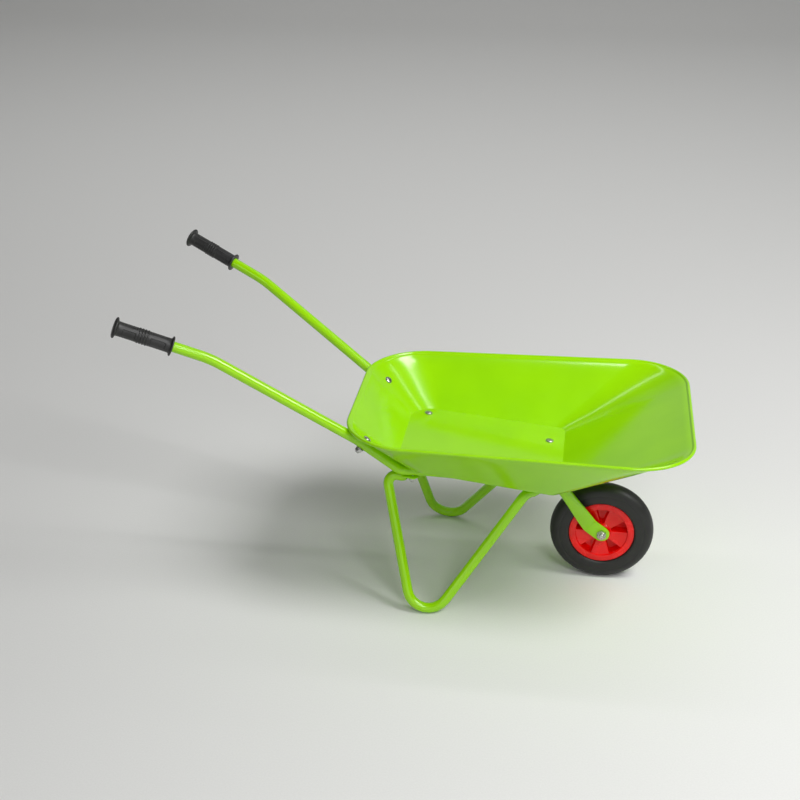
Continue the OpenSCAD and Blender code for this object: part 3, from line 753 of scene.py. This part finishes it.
def makeAxle():
    # hexagon bolt through the wheel, its sleeve, two washers and a locking nut
    a = axleParts
    outer = a["forkOuter"]
    made = {kind: bmesh.new() for kind in ("bolt", "nut", "sleeve", "washers")}
    flipped = axleFrame @ Matrix.Rotation(math.pi, 4, xAxis)
    threadedRod(made["bolt"], flipped, a["radius"], -outer - a["nut"] - a["past"], outer + 0.5)
    hexPrism(made["bolt"], flipped, a["headCorner"], outer, outer + a["head"], 0.7)
    hexPrism(made["nut"], axleFrame, a["nutCorner"], outer, outer + a["nut"] - 1.4, 0.7)
    collar = [(4.1, outer + a["nut"] - 1.6), (6.3, outer + a["nut"] - 1.6), (6.2, outer + a["nut"] - 0.7),
              (5.6, outer + a["nut"]), (4.1, outer + a["nut"]), (4.1, outer + a["nut"] - 1.6)]
    lathe(made["nut"], collar, axleFrame, steps=48)
    half = a["sleeveHalf"]
    lathe(made["sleeve"], [(a["sleeveInner"], -half), (a["sleeveOuter"], -half), (a["sleeveOuter"], half),
                           (a["sleeveInner"], half), (a["sleeveInner"], -half)], axleFrame, steps=48)
    for low in (a["washerAt"], -a["washerAt"] - a["washer"]):
        washerRing(made["washers"], axleFrame, a["washerInner"], a["washerOuter"], low, low + a["washer"])
    return made


for kind, bm in makeAxle().items():
    finishPiece("axle" + kind.capitalize(), bm, zincPlate, barrow, ["axle_" + kind],
                smoothAngle=30)
print("fasteners made")

studio = {
    "floorSize": 14, "sweepBack": 4.5, "sweepRadius": 1.6, "floorDeep": "#DFDFDD", "floor": "#E3E3E1",
    "world": "#FFFFFF", "worldStrength": 0.06,
    # name: (place, aimed at, width, height, watts)
    "lights": {
        "key": ((0.9, -2.1, 2.05), (0.05, 0, 0.2), 0.9, 0.7, 24),
        "cornerSoftbox": ((1.5, -0.5, 2.1), (0.0, 0.1, 0.25), 0.85, 1.15, 46),
        "fill": ((-1.6, -2.6, 1.7), (0.0, 0, 0.2), 1.2, 1.2, 8),
        "nearSoftbox": ((0.5, -2.7, 0.75), (0.05, 0, 0.15), 3.0, 1.0, 9),
        "farPanel": ((0.2, 4.2, 2.0), (0.1, 0, 0.25), 7.0, 3.4, 8),
        "backWash": ((0.2, 1.4, 3.3), (0.2, 5.0, 0.4), 6.0, 0.8, 75),
    },
}


def makeStage():
    # plain pale floor that sweeps up into a backdrop
    s = studio
    material, tree, shader, place = newMaterial("palePaperSweep", {"Roughness": 0.75, "IOR": 1.45})
    fibre = addNode(tree, "ShaderNodeTexNoise", {"Scale": perMetre(2.5), "Detail": 3.0}, {"Vector": place})
    low, high = linear(s["floorDeep"]), linear(s["floor"])
    tree.links.new(ramp(tree, fibre.outputs["Fac"], [(0.3, low), (0.7, high)]), shader.inputs["Base Color"])
    bm = bmesh.new()
    half = s["floorSize"] / 2
    back, radius = s["sweepBack"], s["sweepRadius"]
    curve = [(back + radius * math.sin(math.radians(a)),
              radius * (1 - math.cos(math.radians(a)))) for a in range(0, 91, 6)]
    outline = [(-half, 0)] + curve + [(back + radius, half)]
    verts = [bm.verts.new((-half, y, z)) for y, z in outline]
    edges = [bm.edges.new(pair) for pair in zip(verts, verts[1:])]
    swept = bmesh.ops.extrude_edge_only(bm, edges=edges)
    bmesh.ops.translate(bm, vec=(2 * half, 0, 0),
                        verts=[v for v in swept["geom"] if isinstance(v, bmesh.types.BMVert)])
    bmesh.ops.recalc_face_normals(bm, faces=bm.faces)
    mesh = bpy.data.meshes.new("paperSweep")
    bm.to_mesh(mesh)
    bm.free()
    for polygon in mesh.polygons:
        polygon.use_smooth = True
    mesh.materials.append(material)
    sweep = bpy.data.objects.new("paperSweep", mesh)
    bpy.context.scene.collection.objects.link(sweep)


def makeLights():
    s = studio
    world = bpy.data.worlds.new("studio")
    world.use_nodes = True
    background = world.node_tree.nodes["Background"]
    background.inputs["Color"].default_value = linear(s["world"])
    background.inputs["Strength"].default_value = s["worldStrength"]
    bpy.context.scene.view_settings.view_transform = "Standard"
    bpy.context.scene.world = world
    for name, (place, target, width, height, watts) in s["lights"].items():
        data = bpy.data.lights.new(name, "AREA")
        data.shape = "RECTANGLE"
        data.size, data.size_y = width, height
        data.energy = watts
        lamp = bpy.data.objects.new(name, data)
        lamp.location = place
        lamp.rotation_euler = (Vector(target) - Vector(place)).to_track_quat("-Z", "Y").to_euler()
        bpy.context.scene.collection.objects.link(lamp)


shot = {"place": (0.23575, -1.93492, 1.16775), "azimuth": 0.1364, "down": 0.4295, "roll": 0.0029,
        "lens": 64.83}


def makeCamera():
    s = shot
    a, d = s["azimuth"], s["down"]
    ahead = Vector((-math.sin(a) * math.cos(d), math.cos(a) * math.cos(d), -math.sin(d)))
    right = ahead.cross(zAxis).normalized()
    up = right.cross(ahead)
    turnedRight = right * math.cos(s["roll"]) + up * math.sin(s["roll"])
    turnedUp = up * math.cos(s["roll"]) - right * math.sin(s["roll"])
    data = bpy.data.cameras.new("camera")
    data.lens = s["lens"]
    data.sensor_width = 36
    camera = bpy.data.objects.new("camera", data)
    camera.matrix_world = Matrix((
        (turnedRight.x, turnedUp.x, -ahead.x, s["place"][0]),
        (turnedRight.y, turnedUp.y, -ahead.y, s["place"][1]),
        (turnedRight.z, turnedUp.z, -ahead.z, s["place"][2]),
        (0, 0, 0, 1)))
    bpy.context.scene.collection.objects.link(camera)
    bpy.context.scene.camera = camera


makeStage()
makeLights()
makeCamera()
print("stage, lights and camera set")
